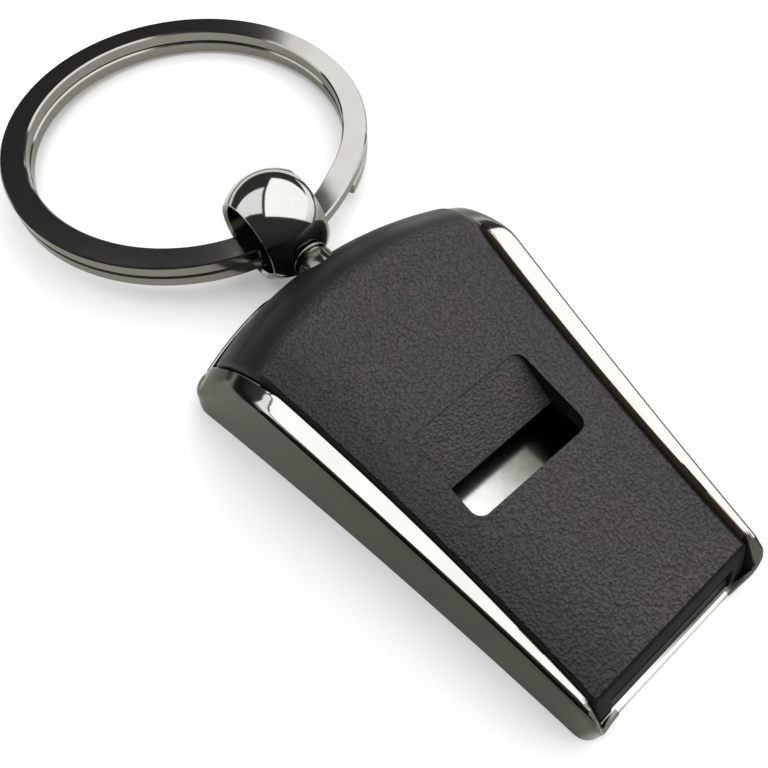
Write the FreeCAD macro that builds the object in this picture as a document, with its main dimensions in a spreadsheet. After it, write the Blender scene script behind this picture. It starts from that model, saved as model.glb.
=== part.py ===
import FreeCAD, Part
import math
import os
import re

import Sketcher

# A flat whistle on a keychain: a plated metal tray with two raised rails, a moulded
# black shell between them, and a swivelling bored ball that carries a split ring.
# Y runs from the mouthpiece to the ring, Z up from the table, X across.

doc = FreeCAD.newDocument("whistle_keychain")

# Driving dimensions, in millimetres and degrees
DIMENSIONS = {
    # tray, seen from above
    "body_length": 37.2,
    "mouth_half_width": 7.85,
    "ring_half_width": 12.75,
    "ring_end_bow": 3.4,
    "side_waist": 0.3,
    "mouth_corner": 1.2,
    "ring_corner": 1.7,
    "wall_draft": 5.0,
    "plate_thickness": 0.8,
    # rails, seen from the side
    "rail_mouth_height": 4.45,
    "rail_tilt": 6.95,
    "rail_nose_round": 1.8,
    "rail_crest_back": 8.8,
    "rail_tip_height": 1.0,
    "rail_tip_bulge": 1.0,
    "rail_edge": 0.5,
    # space between the rails, and the frame round the mouthpiece
    "channel_mouth_half": 6.95,
    "channel_ring_half": 10.4,
    "channel_waist": 0.6,
    "mouth_lip": 0.5,
    "mouth_sweep": 2.2,
    # shell
    "shell_gap": 0.05,
    "shell_sink": 0.35,
    "shell_lean": 1.4,
    "shell_hollow": 0.12,
    "shell_crest_back": 7.0,
    "shell_end_back": 0.7,
    "shell_end_bulge": 1.15,
    "shell_edge": 0.5,
    "shell_front_edge": 0.35,
    "shell_wall": 1.4,
    "shell_roof": 1.15,
    # window, labium and windway
    "window_half_width": 4.8,
    "window_y": 13.3,
    "window_length": 6.5,
    "window_corner": 0.8,
    "window_crease": 0.12,
    "labium_gap": 2.9,
    "labium_height": 4.3,
    "labium_edge": 0.25,
    "labium_back": 0.8,
    "windway_mouth": 1.2,
    "windway_exit": 1.0,
    "block_gap": 0.05,
    "block_recess": 0.1,
    # swivel
    "swivel_height": 4.15,
    "ball_radius": 4.12,
    "ball_reach": 2.75,
    "ball_flat": 2.6,
    "ball_bore_radius": 2.85,
    "ball_rim": 0.2,
    "ball_pole": 3.9,
    "pin_radius": 0.85,
    "pin_clearance": 0.05,
    "pin_boss_clearance": 0.02,
    "pin_head_radius": 1.5,
    "pin_head_clearance": 0.1,
    "pin_head_thickness": 0.5,
    "pin_head_depth": 0.55,
    "pin_head_edge": 0.2,
    "pin_end_gap": 0.03,
    "collar_radius": 1.45,
    "collar_clearance": 0.1,
    "collar_gap": 0.06,
    "chamber_end_back": 4.5,
    "boss_half_width": 2.4,
    "boss_length": 2.4,
    "boss_height": 5.4,
    "boss_gap": 0.2,
    "washer_radius": 1.7,
    "washer_thickness": 0.5,
    "rivet_radius": 1.3,
    "rivet_thickness": 0.45,
    "rivet_edge": 0.3,
    # split ring
    "band_outer_radius": 15.0,
    "band_width": 2.05,
    "band_layer": 1.0,
    "band_layer_gap": 0.08,
    "band_edge": 0.12,
    "band_shift": 0.5,
    "band_drop": 1.1,
    "band_aside": 0.67,
    "band_pitch": 3.3,
    "band_roll": 2.87,
    "band_step_angle": 24.0,
    "band_end_gap": 1.0,
    "band_turned": 297.0,
}

sheet = doc.addObject("Spreadsheet::Sheet", "Sizes")
for row, (name, number) in enumerate(DIMENSIONS.items(), start=1):
    sheet.set(f"A{row}", name)
    sheet.set(f"B{row}", str(number))
    sheet.setAlias(f"B{row}", name)
doc.recompute()


def bound(text):
    """An expression in which each dimension's name points at its cell."""
    return re.sub(r"[a-z_]{4,}", lambda word: f"Sizes.{word[0]}" if word[0] in DIMENSIONS else word[0], text)


def number(text):
    """The value that an expression has now."""
    value = sheet.evalExpression(bound(text).replace("Sizes.", ""))
    return float(getattr(value, "Value", value))


def bind(target, prop, text):
    target.setExpression(prop, bound(text))


def new_body(name):
    """A body whose mouth end stands half a body length before the origin."""
    body = doc.addObject("PartDesign::Body", name)
    body.Label = name
    bind(body, "Placement.Base.y", "-body_length/2")
    return body


def new_sketch(body, name, role, lift="0"):
    plane = next(item for item in body.Origin.OriginFeatures if item.Role == role)
    sketch = body.newObject("Sketcher::SketchObject", name)
    sketch.AttachmentSupport = [(plane, "")]
    sketch.MapMode = "FlatFace"
    bind(sketch, "AttachmentOffset.Base.z", lift)
    return sketch


def pin_down(sketch, geometry, vertex, point):
    """Fix a vertex at the expressions of its two coordinates."""
    for kind, text, axis in (("DistanceX", point[0], -2), ("DistanceY", point[1], -1)):
        if text == "0":
            sketch.addConstraint(Sketcher.Constraint("PointOnObject", geometry, vertex, axis))
            continue
        index = sketch.addConstraint(
            Sketcher.Constraint(kind, -1, 1, geometry, vertex, number(text)))
        bind(sketch, f"Constraints[{index}]", text)


def outline(sketch, start, steps):
    """Draw a closed outline. A step is a line's end, or an arc's middle and end."""
    if steps[-1][-1] != start:
        steps = [*steps, [start]]
    here = start
    edges = []
    for step in steps:
        points = [FreeCAD.Vector(number(p[0]), number(p[1]), 0) for p in (here, *step)]
        if len(step) == 1:
            edges.append(sketch.addGeometry(Part.LineSegment(*points), False))
        else:
            edge = sketch.addGeometry(Part.Arc(*points), False)
            edges.append(edge)
            mark = sketch.addGeometry(Part.Point(points[1]), True)
            pin_down(sketch, mark, 1, step[0])
            sketch.addConstraint(Sketcher.Constraint("PointOnObject", mark, 1, edge))
        here = step[-1]
    ends = [start] + [step[-1] for step in steps[:-1]]
    for index, edge in enumerate(edges):
        first = first_vertex(sketch, edge, ends[index])
        before = edges[index - 1]
        last = 3 - first_vertex(sketch, before, ends[index - 1])
        sketch.addConstraint(Sketcher.Constraint("Coincident", before, last, edge, first))
        pin_down(sketch, edge, first, ends[index])
    return sketch


def first_vertex(sketch, edge, point):
    """The vertex number, 1 or 2, of the end of an edge that lies at a point."""
    place = FreeCAD.Vector(number(point[0]), number(point[1]), 0)
    near = sketch.getPoint(edge, 1).distanceToPoint(place)
    far = sketch.getPoint(edge, 2).distanceToPoint(place)
    return 1 if near <= far else 2


def mirrored(points):
    """The same points on the other side of the middle."""
    return [(f"-({u})", v) for u, v in points]


def feature(body, kind, name, sketch, **settings):
    item = body.newObject(f"PartDesign::{kind}", name)
    item.Profile = sketch
    for key, setting in settings.items():
        if isinstance(setting, str):
            bind(item, key, setting)
        else:
            setattr(item, key, setting)
    doc.recompute()
    return item


def cut_across(body, name, sketch, width):
    """A pocket cut both ways from the middle plane."""
    return feature(body, "Pocket", name, sketch, Midplane=True, Length=width)


def edges_where(shape, test):
    """The names of the edges whose every sampled point passes a test."""
    names = []
    for index, edge in enumerate(shape.Edges, start=1):
        span = (edge.FirstParameter, edge.LastParameter)
        points = [edge.valueAt(span[0] + (span[1] - span[0]) * share) for share in (0.02, 0.5, 0.98)]
        if all(test(point) for point in points):
            names.append(f"Edge{index}")
    return names


def round_edges(body, name, base, test, radius):
    item = body.newObject("PartDesign::Fillet", name)
    item.Base = (base, edges_where(base.Shape, test))
    bind(item, "Radius", radius)
    doc.recompute()
    return item


# Heights and places along the body, counted from the mouth end
RAIL_RISE = "tan(rail_tilt)"
RING_CORNER_Y = "(body_length - ring_end_bow)"
SHELL_FRONT_Y = "(mouth_lip + shell_gap)"
CHAMBER_END_Y = "(body_length - chamber_end_back)"
BALL_Y = "(body_length + ball_reach)"
LABIUM_Y = "(window_y + labium_gap)"
CREST_HEIGHT = f"(rail_mouth_height + {RAIL_RISE}*(body_length - rail_crest_back))"
CLEAR_ABOVE = f"({CREST_HEIGHT} + 4)"
BLOCK_HEIGHT = f"({CREST_HEIGHT} + 2)"
CLEAR_BEYOND = "(body_length + 3)"


def rail_top(y):
    return f"(rail_mouth_height + {RAIL_RISE}*({y}))"


def shell_top(y):
    return f"({rail_top(y)} - shell_sink)"


def side_middle(mouth, ring, waist, start="mouth_lip", end=RING_CORNER_Y):
    """The middle point of a drawn-in side between the mouth and the ring end."""
    return (f"(({mouth}) + ({ring}))/2 - {waist}", f"(({start}) + ({end}))/2")


# Tray: a die-cast plate and two rails in one piece
tray = new_body("frame_tray")
tray_side = [
    side_middle("mouth_half_width", "ring_half_width", "side_waist", "0"),
    ("ring_half_width", RING_CORNER_Y),
]
tray_plan = outline(
    new_sketch(tray, "tray_plan", "XY_Plane"),
    ("-mouth_half_width", "0"),
    [
        [("mouth_half_width", "0")],
        tray_side,
        [("0", "body_length"), *mirrored(tray_side[1:])],
        [*mirrored(tray_side[:1]), ("-mouth_half_width", "0")],
    ],
)
tray_block = feature(tray, "Pad", "tray_block", tray_plan, Length=BLOCK_HEIGHT, TaperAngle="-wall_draft")


def standing(test):
    """Only edges that climb the whole wall: no sampled point lies at its foot or its top."""
    top = number(BLOCK_HEIGHT)
    return lambda point: test(point) and 0 < point.z < top


def at_mouth_corner(point):
    return point.y < number("mouth_half_width") / 3 and abs(point.x) > 1


def at_ring_corner(point):
    return point.y > number(RING_CORNER_Y) - 2.5 and abs(point.x) > number("ring_half_width") - 3


mouth_corners = round_edges(tray, "mouth_corners", tray_block, standing(at_mouth_corner), "mouth_corner")
ring_corners = round_edges(tray, "ring_corners", mouth_corners, standing(at_ring_corner), "ring_corner")

channel_side = [
    side_middle("channel_mouth_half", "channel_ring_half", "channel_waist"),
    ("channel_ring_half", RING_CORNER_Y),
]
channel_plan = outline(
    new_sketch(tray, "channel_plan", "XY_Plane", "plate_thickness"),
    ("-channel_mouth_half", "mouth_lip"),
    [
        [("channel_mouth_half", "mouth_lip")],
        channel_side,
        [("channel_ring_half + 0.6", CLEAR_BEYOND)],
        [("-(channel_ring_half + 0.6)", CLEAR_BEYOND)],
        [*mirrored(channel_side[1:])],
        [*mirrored(channel_side[:1]), ("-channel_mouth_half", "mouth_lip")],
    ],
)
channel = feature(tray, "Pocket", "channel", channel_plan, Reversed=True, Length=CLEAR_ABOVE)

# The frame round the mouthpiece sweeps up from the lip to the rails
MOUTH_FLAT = "(channel_mouth_half - mouth_sweep)"
mouth_opening_line = outline(
    new_sketch(tray, "mouth_opening_line", "XZ_Plane", "1"),
    (f"-{MOUTH_FLAT}", "plate_thickness"),
    [
        [(MOUTH_FLAT, "plate_thickness")],
        [(f"{MOUTH_FLAT} + 0.7071*mouth_sweep", "plate_thickness + 0.2929*mouth_sweep"),
         ("channel_mouth_half", "plate_thickness + mouth_sweep")],
        [("channel_mouth_half", CLEAR_ABOVE)],
        [("-channel_mouth_half", CLEAR_ABOVE)],
        [("-channel_mouth_half", "plate_thickness + mouth_sweep")],
        [(f"-({MOUTH_FLAT} + 0.7071*mouth_sweep)", "plate_thickness + 0.2929*mouth_sweep"),
         (f"-{MOUTH_FLAT}", "plate_thickness")],
    ],
)
mouth_opening = feature(tray, "Pocket", "mouth_opening", mouth_opening_line, Length="1 + mouth_lip")

rail_line = outline(
    new_sketch(tray, "rail_line", "YZ_Plane"),
    ("-2", rail_top("-2")),
    [
        [(CLEAR_BEYOND, rail_top(CLEAR_BEYOND))],
        [(CLEAR_BEYOND, f"2*{CREST_HEIGHT}")],
        [("-2", f"2*{CREST_HEIGHT}")],
    ],
)
rails = cut_across(tray, "rails", rail_line, "4*ring_half_width")


def along_rail(point):
    """The long outer edges along the rails' tops."""
    share = point.y / number(RING_CORNER_Y)
    half = number("channel_mouth_half") + share * number("channel_ring_half - channel_mouth_half")
    on_top = abs(point.z - number(rail_top("0")) - number(RAIL_RISE) * point.y) < 0.02
    return on_top and point.y < number(RING_CORNER_Y) and abs(point.x) > half - number("channel_waist") / 2 + 0.25


# Both ends, the tray's and the shell's, are turned about one upright axis
END_RADIUS = "((ring_end_bow^2 + ring_half_width^2)/(2*ring_end_bow))"
END_CENTRE = f"(body_length - {END_RADIUS})"


def turned_end(body, name, start, bulge, end, floor):
    """Cut away all that lies beyond an arc turned about the ends' axis, down to a floor below the arc."""
    middle = (f"0.5*({start[0]} + {end[0]}) + {bulge}", f"0.5*({start[1]} + {end[1]}) + 0.8*{bulge}")
    sketch = new_sketch(body, f"{name}_line", "YZ_Plane")
    outline(
        sketch,
        start,
        [
            [middle, end],
            [(end[0], floor)],
            [("2*body_length", floor)],
            [("2*body_length", f"2*{CREST_HEIGHT}")],
            [(start[0], f"2*{CREST_HEIGHT}")],
            [start],
        ],
    )
    axis = sketch.addGeometry(Part.LineSegment(
        FreeCAD.Vector(number(END_CENTRE), 0, 0), FreeCAD.Vector(number(END_CENTRE), 10, 0)), True)
    pin_down(sketch, axis, 1, (END_CENTRE, "0"))
    pin_down(sketch, axis, 2, (END_CENTRE, "10"))
    return feature(body, "Groove", name, sketch, ReferenceAxis=(sketch, ["Axis0"]), Angle="180", Midplane=True)


# Rails: the outer edges are eased before the nose and the tip are shaped
rail_outer_edges = round_edges(tray, "rail_outer_edges", rails, along_rail, "rail_edge")
nose_line = outline(
    new_sketch(tray, "nose_line", "YZ_Plane"),
    ("0", "rail_mouth_height - rail_nose_round"),
    [
        [("0.29*rail_nose_round", "rail_mouth_height - 0.24*rail_nose_round"),
         ("rail_nose_round", rail_top("rail_nose_round"))],
        [("rail_nose_round", CLEAR_ABOVE)],
        [("-2", CLEAR_ABOVE)],
        [("-2", "rail_mouth_height - rail_nose_round")],
    ],
)
rail_noses = cut_across(tray, "rail_noses", nose_line, "4*ring_half_width")
RAIL_CREST_Y = "(body_length - rail_crest_back)"
rail_tips = turned_end(tray, "rail_tips", (RAIL_CREST_Y, f"{rail_top(RAIL_CREST_Y)} + 0.2"), "rail_tip_bulge",
                       ("body_length", "rail_tip_height"), "rail_tip_height - 0.05")

# Boss in the tray that holds the swivel pin, inside the shell
BOSS_FACE_Y = f"({CHAMBER_END_Y} - boss_gap)"
BOSS_BACK_Y = f"({BOSS_FACE_Y} - boss_length)"
boss_plan = outline(
    new_sketch(tray, "boss_plan", "XY_Plane", "plate_thickness"),
    ("-boss_half_width", BOSS_FACE_Y),
    [
        [("-boss_half_width", BOSS_BACK_Y)],
        [("boss_half_width", BOSS_BACK_Y)],
        [("boss_half_width", BOSS_FACE_Y)],
        [("-boss_half_width", BOSS_FACE_Y)],
    ],
)
boss = feature(tray, "Pad", "boss", boss_plan, Length="boss_height - plate_thickness")


def round_section(body, name, radius, start, height="swivel_height"):
    """A circle on the swivel's axis, on a plane at a distance along the body."""
    sketch = new_sketch(body, name, "XZ_Plane", f"-({start})")
    circle = sketch.addGeometry(Part.Circle(
        FreeCAD.Vector(0, number(height), 0), FreeCAD.Vector(0, 0, 1), number(radius)), False)
    pin_down(sketch, circle, 3, ("0", height))
    index = sketch.addConstraint(Sketcher.Constraint("Radius", circle, number(radius)))
    bind(sketch, f"Constraints[{index}]", radius)
    return sketch


pin_hole = feature(tray, "Pocket", "pin_hole",
                   round_section(tray, "pin_hole_circle", "pin_radius + pin_boss_clearance", f"{BOSS_BACK_Y} - 1"),
                   Length="boss_length + 1.5")


# Shell: its outside
shell = new_body("shell_outside")
SHELL_MOUTH_HALF = "(channel_mouth_half - shell_gap)"
SHELL_RING_HALF = "(channel_ring_half - shell_gap)"
shell_side = [
    side_middle(SHELL_MOUTH_HALF, SHELL_RING_HALF, "channel_waist"),
    (SHELL_RING_HALF, RING_CORNER_Y),
]
shell_plan = outline(
    new_sketch(shell, "shell_plan", "XY_Plane", "plate_thickness"),
    (f"-{SHELL_MOUTH_HALF}", "mouth_lip"),
    [
        [(SHELL_MOUTH_HALF, "mouth_lip")],
        shell_side,
        [(f"{SHELL_RING_HALF} + 0.3", CLEAR_BEYOND)],
        [(f"-({SHELL_RING_HALF} + 0.3)", CLEAR_BEYOND)],
        [*mirrored(shell_side[1:])],
        [*mirrored(shell_side[:1]), (f"-{SHELL_MOUTH_HALF}", "mouth_lip")],
    ],
)
shell_block = feature(shell, "Pad", "shell_block", shell_plan, Length=CLEAR_ABOVE)
SHELL_REAR = f"({SHELL_FRONT_Y} + shell_lean)"
shell_line = outline(
    new_sketch(shell, "shell_line", "YZ_Plane"),
    ("-2", "0"),
    [
        [(SHELL_FRONT_Y, "0")],
        [(SHELL_FRONT_Y, "plate_thickness")],
        [(f"{SHELL_FRONT_Y} + 0.5*shell_lean - shell_hollow", f"0.5*(plate_thickness + {shell_top(SHELL_REAR)})"),
         (SHELL_REAR, shell_top(SHELL_REAR))],
        [(CLEAR_BEYOND, shell_top(CLEAR_BEYOND))],
        [(CLEAR_BEYOND, f"2*{CREST_HEIGHT}")],
        [("-2", f"2*{CREST_HEIGHT}")],
    ],
)
shell_faces = cut_across(shell, "shell_faces", shell_line, "4*ring_half_width")
SHELL_CREST_Y = "(body_length - shell_crest_back)"
SHELL_END_Y = "(body_length - shell_end_back)"
shell_end = turned_end(shell, "shell_end", (SHELL_CREST_Y, shell_top(SHELL_CREST_Y)), "shell_end_bulge",
                       (SHELL_END_Y, "plate_thickness"), "0")


def on_shell_top(point):
    slope = number("rail_mouth_height - shell_sink") + number(RAIL_RISE) * point.y
    return abs(point.z - slope) < 0.02 and point.y < number(SHELL_CREST_Y) + 1


def on_long_edge(point):
    """The long edges along the top, and those that run down the ring end."""
    share = point.y / number(RING_CORNER_Y)
    half = number("channel_mouth_half") + share * number("channel_ring_half - channel_mouth_half")
    at_end = point.y > number(SHELL_CREST_Y) - 5 and point.z > number("plate_thickness") + 0.01
    return (on_shell_top(point) or at_end) and abs(point.x) > half - 0.9


def front_top_edge(point):
    return abs(point.y - number(SHELL_REAR)) < 0.02 and point.z > number("rail_mouth_height") / 2


shell_rounds = round_edges(shell, "shell_rounds", shell_end, on_long_edge, "shell_edge")
shell_front_round = round_edges(shell, "shell_front_round", shell_rounds, front_top_edge, "shell_front_edge")
shell.Tip = shell_front_round

# Shell: the core that hollows it, and the core of its window
core = new_body("chamber_core")
CORE_CORNER_Y = f"({CHAMBER_END_Y} - (channel_ring_half - shell_wall)^2/(2*{END_RADIUS}))"


def core_plan(sketch, inset, start):
    """The inside of the shell's walls, moved in by a gap."""
    half = f"(channel_mouth_half - shell_wall - {inset})"
    ring_half = f"(channel_ring_half - shell_wall - {inset})"
    side = [side_middle(half, ring_half, "channel_waist", "mouth_lip", CORE_CORNER_Y), (ring_half, CORE_CORNER_Y)]
    return outline(
        sketch,
        (f"-{half}", start),
        [
            [(half, start)],
            [(half, "mouth_lip")],
            side,
            [("0", CHAMBER_END_Y), *mirrored(side[1:])],
            [*mirrored(side[:1]), (f"-{half}", "mouth_lip")],
            [(f"-{half}", start)],
        ],
    )


chamber_plan = core_plan(new_sketch(core, "chamber_plan", "XY_Plane", "-1"), "0", "-3")
chamber_block = feature(core, "Pad", "chamber_block", chamber_plan, Length=CLEAR_ABOVE)
WINDWAY_ROOF = "(rail_mouth_height - shell_sink - shell_roof)"
WINDOW_ROOF = f"({shell_top('window_y')} - shell_roof)"
WINDOW_END = "(window_y + window_length)"
LABIUM_UNDER = "(labium_height - labium_edge)"
LABIUM_ROOT = f"({WINDOW_END} + labium_back)"
CROWN_Y = f"({SHELL_CREST_Y} - 1.2)"
roof_line = outline(
    new_sketch(core, "roof_line", "YZ_Plane"),
    ("-4", WINDWAY_ROOF),
    [
        [("0", WINDWAY_ROOF)],
        [("window_y", WINDOW_ROOF)],
        [(LABIUM_Y, LABIUM_UNDER)],
        [(LABIUM_ROOT, f"{shell_top(LABIUM_ROOT)} - shell_roof")],
        [(CROWN_Y, f"{shell_top(CROWN_Y)} - shell_roof")],
        [(f"{CHAMBER_END_Y} + boss_gap", "boss_height + boss_gap")],
        [(CLEAR_BEYOND, "boss_height + boss_gap")],
        [(CLEAR_BEYOND, f"2*{CREST_HEIGHT}")],
        [("-4", f"2*{CREST_HEIGHT}")],
    ],
)
chamber = cut_across(core, "chamber", roof_line, "4*ring_half_width")
collar_hole = feature(core, "Pad", "collar_hole",
                      round_section(core, "collar_circle", "collar_radius + collar_clearance", f"{CHAMBER_END_Y} - 1"),
                      Reversed=True, Length="chamber_end_back + 4")

window_core = new_body("window_core")
window_plan = outline(
    new_sketch(window_core, "window_plan", "XY_Plane", f"0.5*({LABIUM_UNDER} + plate_thickness)"),
    ("-window_half_width", "window_y"),
    [
        [("window_half_width", "window_y")],
        [("window_half_width", WINDOW_END)],
        [("-window_half_width", WINDOW_END)],
        [("-window_half_width", "window_y")],
    ],
)
window_block = feature(window_core, "Pad", "window_block", window_plan, Length=CLEAR_ABOVE)


def window_corner_edge(point):
    return (abs(abs(point.x) - number("window_half_width")) < 0.01
            and min(abs(point.y - number("window_y")), abs(point.y - number(WINDOW_END))) < 0.01)


window_corners = round_edges(window_core, "window_corners", window_block, window_corner_edge, "window_corner")
ramp_line = outline(
    new_sketch(window_core, "ramp_line", "YZ_Plane"),
    (LABIUM_Y, "0"),
    [
        [(CLEAR_BEYOND, "0")],
        [(CLEAR_BEYOND, f"{shell_top(WINDOW_END)} - window_crease")],
        [(WINDOW_END, f"{shell_top(WINDOW_END)} - window_crease")],
        [(LABIUM_Y, "labium_height")],
    ],
)
ramp = cut_across(window_core, "ramp", ramp_line, "4*ring_half_width")


def difference(name, base, tool):
    item = doc.addObject("Part::Cut", name)
    item.Base = base
    item.Tool = tool
    doc.recompute()
    return item


hollow_shell = difference("hollow_shell", shell, core)
whistle_shell = difference("whistle_shell", hollow_shell, window_core)

# Windway block: the plug below the roof that leaves the air slot
block = new_body("windway_block")
block_plan = core_plan(new_sketch(block, "block_plan", "XY_Plane", "plate_thickness"), "block_gap", "-1")
block_pad = feature(block, "Pad", "block_pad", block_plan, Length=CREST_HEIGHT)
BLOCK_FRONT_Y = f"({SHELL_FRONT_Y} + block_recess)"
block_line = outline(
    new_sketch(block, "block_line", "YZ_Plane"),
    ("-3", "0"),
    [
        [(BLOCK_FRONT_Y, "0")],
        [(BLOCK_FRONT_Y, "plate_thickness")],
        [(f"{BLOCK_FRONT_Y} + 0.3*shell_lean", f"{WINDWAY_ROOF} - windway_mouth")],
        [("window_y - block_recess", f"{WINDOW_ROOF} - windway_exit")],
        [("window_y - block_recess", "0")],
        [(CLEAR_BEYOND, "0")],
        [(CLEAR_BEYOND, f"2*{CREST_HEIGHT}")],
        [("-3", f"2*{CREST_HEIGHT}")],
    ],
)
block_cut = cut_across(block, "block_cut", block_line, "4*ring_half_width")

# Swivel ball: turned about the cross hole, then drilled for the pin
ball = doc.addObject("PartDesign::Body", "swivel_ball")
ball.Label = "swivel_ball"
bind(ball, "Placement.Base.y", f"{BALL_Y} - body_length/2")
bind(ball, "Placement.Base.z", "swivel_height")
FLAT_RADIUS = "sqrt(ball_radius^2 - ball_flat^2)"
ball_line = outline(
    new_sketch(ball, "ball_line", "XZ_Plane"),
    ("-ball_flat", "ball_bore_radius + ball_rim"),
    [
        [("-ball_flat + ball_rim", "ball_bore_radius")],
        [("ball_flat - ball_rim", "ball_bore_radius")],
        [("ball_flat", "ball_bore_radius + ball_rim")],
        [("ball_flat", FLAT_RADIUS)],
        [("0", "ball_radius"), ("-ball_flat", FLAT_RADIUS)],
    ],
)


def full_turn(body, name, sketch, axis="H_Axis"):
    turn = body.newObject("PartDesign::Revolution", name)
    turn.Profile = sketch
    turn.ReferenceAxis = (sketch, [axis])
    turn.Angle = 360
    doc.recompute()
    return turn


ball_turned = full_turn(ball, "ball_turned", ball_line)
pole_cut = feature(ball, "Pocket", "pole_cut", round_section(ball, "pole_circle", "ball_radius", "-ball_pole", "0"),
                   Reversed=True, Length="ball_radius")
ball_pin_hole = feature(ball, "Pocket", "ball_pin_hole",
                        round_section(ball, "ball_pin_circle", "pin_radius + pin_clearance", "-(ball_radius + 1)", "0"),
                        Length="ball_radius + 1")
HEAD_SEAT = "(ball_bore_radius + pin_head_depth)"
ball_head_seat = feature(ball, "Pocket", "ball_head_seat",
                         round_section(ball, "ball_head_circle", "pin_head_radius + pin_head_clearance",
                                       f"-{HEAD_SEAT}", "0"),
                         Length=HEAD_SEAT)


def turned_piece(name, points):
    """A body turned about the swivel's axis. A point is a place along it and a radius."""
    body = new_body(name)
    bind(body, "Placement.Base.z", "swivel_height")
    sketch = new_sketch(body, f"{name}_line", "YZ_Plane")
    outline(sketch, points[0], [[point] for point in points[1:]])
    full_turn(body, f"{name}_turned", sketch)
    return body


HEAD_Y = f"({BALL_Y} - {HEAD_SEAT} + pin_end_gap)"
HEAD_END_Y = f"({HEAD_Y} + pin_head_thickness)"
WASHER_BACK_Y = f"({BOSS_BACK_Y} - washer_thickness - pin_end_gap)"
RIVET_Y = f"({WASHER_BACK_Y} - pin_end_gap)"
RIVET_END_Y = f"({RIVET_Y} - rivet_thickness)"
swivel_pin = turned_piece("swivel_pin", [
    (RIVET_END_Y, "0"),
    (HEAD_END_Y, "0"),
    (HEAD_END_Y, "pin_head_radius - pin_head_edge"),
    (f"{HEAD_END_Y} - pin_head_edge", "pin_head_radius"),
    (HEAD_Y, "pin_head_radius"),
    (HEAD_Y, "pin_radius"),
    (RIVET_Y, "pin_radius"),
    (RIVET_Y, "rivet_radius"),
    (f"{RIVET_END_Y} + 0.3*rivet_edge", "rivet_radius - rivet_edge"),
    (RIVET_END_Y, "rivet_radius - 2*rivet_edge"),
])
BALL_NECK_Y = f"({BALL_Y} - ball_pole - collar_gap)"
neck_collar = turned_piece("neck_collar", [
    (BOSS_FACE_Y, "pin_radius + pin_clearance"),
    (BALL_NECK_Y, "pin_radius + pin_clearance"),
    (BALL_NECK_Y, "collar_radius"),
    (BOSS_FACE_Y, "collar_radius"),
])
retaining_washer = turned_piece("retaining_washer", [
    (WASHER_BACK_Y, "pin_radius + pin_boss_clearance"),
    (f"{BOSS_BACK_Y} - pin_end_gap", "pin_radius + pin_boss_clearance"),
    (f"{BOSS_BACK_Y} - pin_end_gap", "washer_radius"),
    (WASHER_BACK_Y, "washer_radius"),
])

# Split ring: two flat turns joined by a step
ring = doc.addObject("PartDesign::Body", "split_ring")
ring.Label = "split_ring"
BAND_MIDDLE = "(band_outer_radius - band_width/2)"
BAND_LOW = "(0.5*band_layer_gap)"
BAND_HIGH = "(0.5*band_layer_gap + band_layer)"


def band_profile(name, low, high):
    """The flat band's section between two heights, with its corners broken."""
    inner = "(band_outer_radius - band_width)"
    outer = "band_outer_radius"
    return outline(
        new_sketch(ring, name, "XZ_Plane"),
        (f"{inner} + band_edge", low),
        [
            [(f"{outer} - band_edge", low)],
            [(outer, f"{low} + band_edge")],
            [(outer, f"{high} - band_edge")],
            [(f"{outer} - band_edge", high)],
            [(f"{inner} + band_edge", high)],
            [(inner, f"{high} - band_edge")],
            [(inner, f"{low} + band_edge")],
        ],
    )


def band_turn(name, sketch, backwards=False):
    turn = ring.newObject("PartDesign::Revolution", name)
    turn.Profile = sketch
    turn.ReferenceAxis = (sketch, ["V_Axis"])
    turn.Reversed = backwards
    bind(turn, "Angle", "360 - band_step_angle - band_end_gap")
    doc.recompute()
    return turn


upper_turn = band_turn("upper_turn", band_profile("upper_line", BAND_LOW, BAND_HIGH))
step_line = band_profile("step_line", BAND_LOW, BAND_HIGH)
band_step = ring.newObject("PartDesign::AdditiveHelix", "band_step")
band_step.Profile = step_line
band_step.ReferenceAxis = (step_line, ["V_Axis"])
band_step.Mode = "pitch-height-angle"
bind(band_step, "Pitch", "(band_layer + band_layer_gap)*360/band_step_angle")
bind(band_step, "Height", "band_layer + band_layer_gap")
band_step.Reversed = True
doc.recompute()
lower_line = band_profile("lower_line", f"-{BAND_HIGH}", f"-{BAND_LOW}")
lower_line.AttachmentOffset = FreeCAD.Placement(
    FreeCAD.Vector(), FreeCAD.Rotation(FreeCAD.Vector(0, 1, 0), -number("band_step_angle")))
bind(lower_line, "AttachmentOffset.Rotation.Angle", "-band_step_angle")
doc.recompute()
lower_turn = band_turn("lower_turn", lower_line, True)
TILT = "rotationx(-band_pitch)*rotationy(band_roll)*rotationz(band_turned)"
RING_Y = f"{BALL_Y} - band_shift + {BAND_MIDDLE}*cos(band_pitch) - body_length/2"
RING_Z = f"swivel_height - band_drop - {BAND_MIDDLE}*sin(band_pitch) - band_aside*sin(band_roll)"
bind(ring, "Placement", f"placement(vector(band_aside; {RING_Y}; {RING_Z}); {TILT})")
doc.recompute()

NODES = {
    "frame_tray": tray,
    "whistle_shell": whistle_shell,
    "windway_block": block,
    "swivel_ball": ball,
    "swivel_pin": swivel_pin,
    "neck_collar": neck_collar,
    "retaining_washer": retaining_washer,
    "split_ring": ring,
}

for item in doc.Objects:
    if {"Invalid", "Error"} & set(item.State):
        raise RuntimeError(f"{item.Name} did not build: {item.State}")
for name, item in NODES.items():
    if item.Shape.isNull() or not item.Shape.isValid() or len(item.Shape.Solids) != 1:
        raise RuntimeError(f"{name} is not one sound solid")

os.makedirs("parts", exist_ok=True)
for name, item in NODES.items():
    item.Shape.exportStep(f"parts/{name}.step")
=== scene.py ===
import math

import bmesh
import bpy
from mathutils import Matrix, Vector


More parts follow.
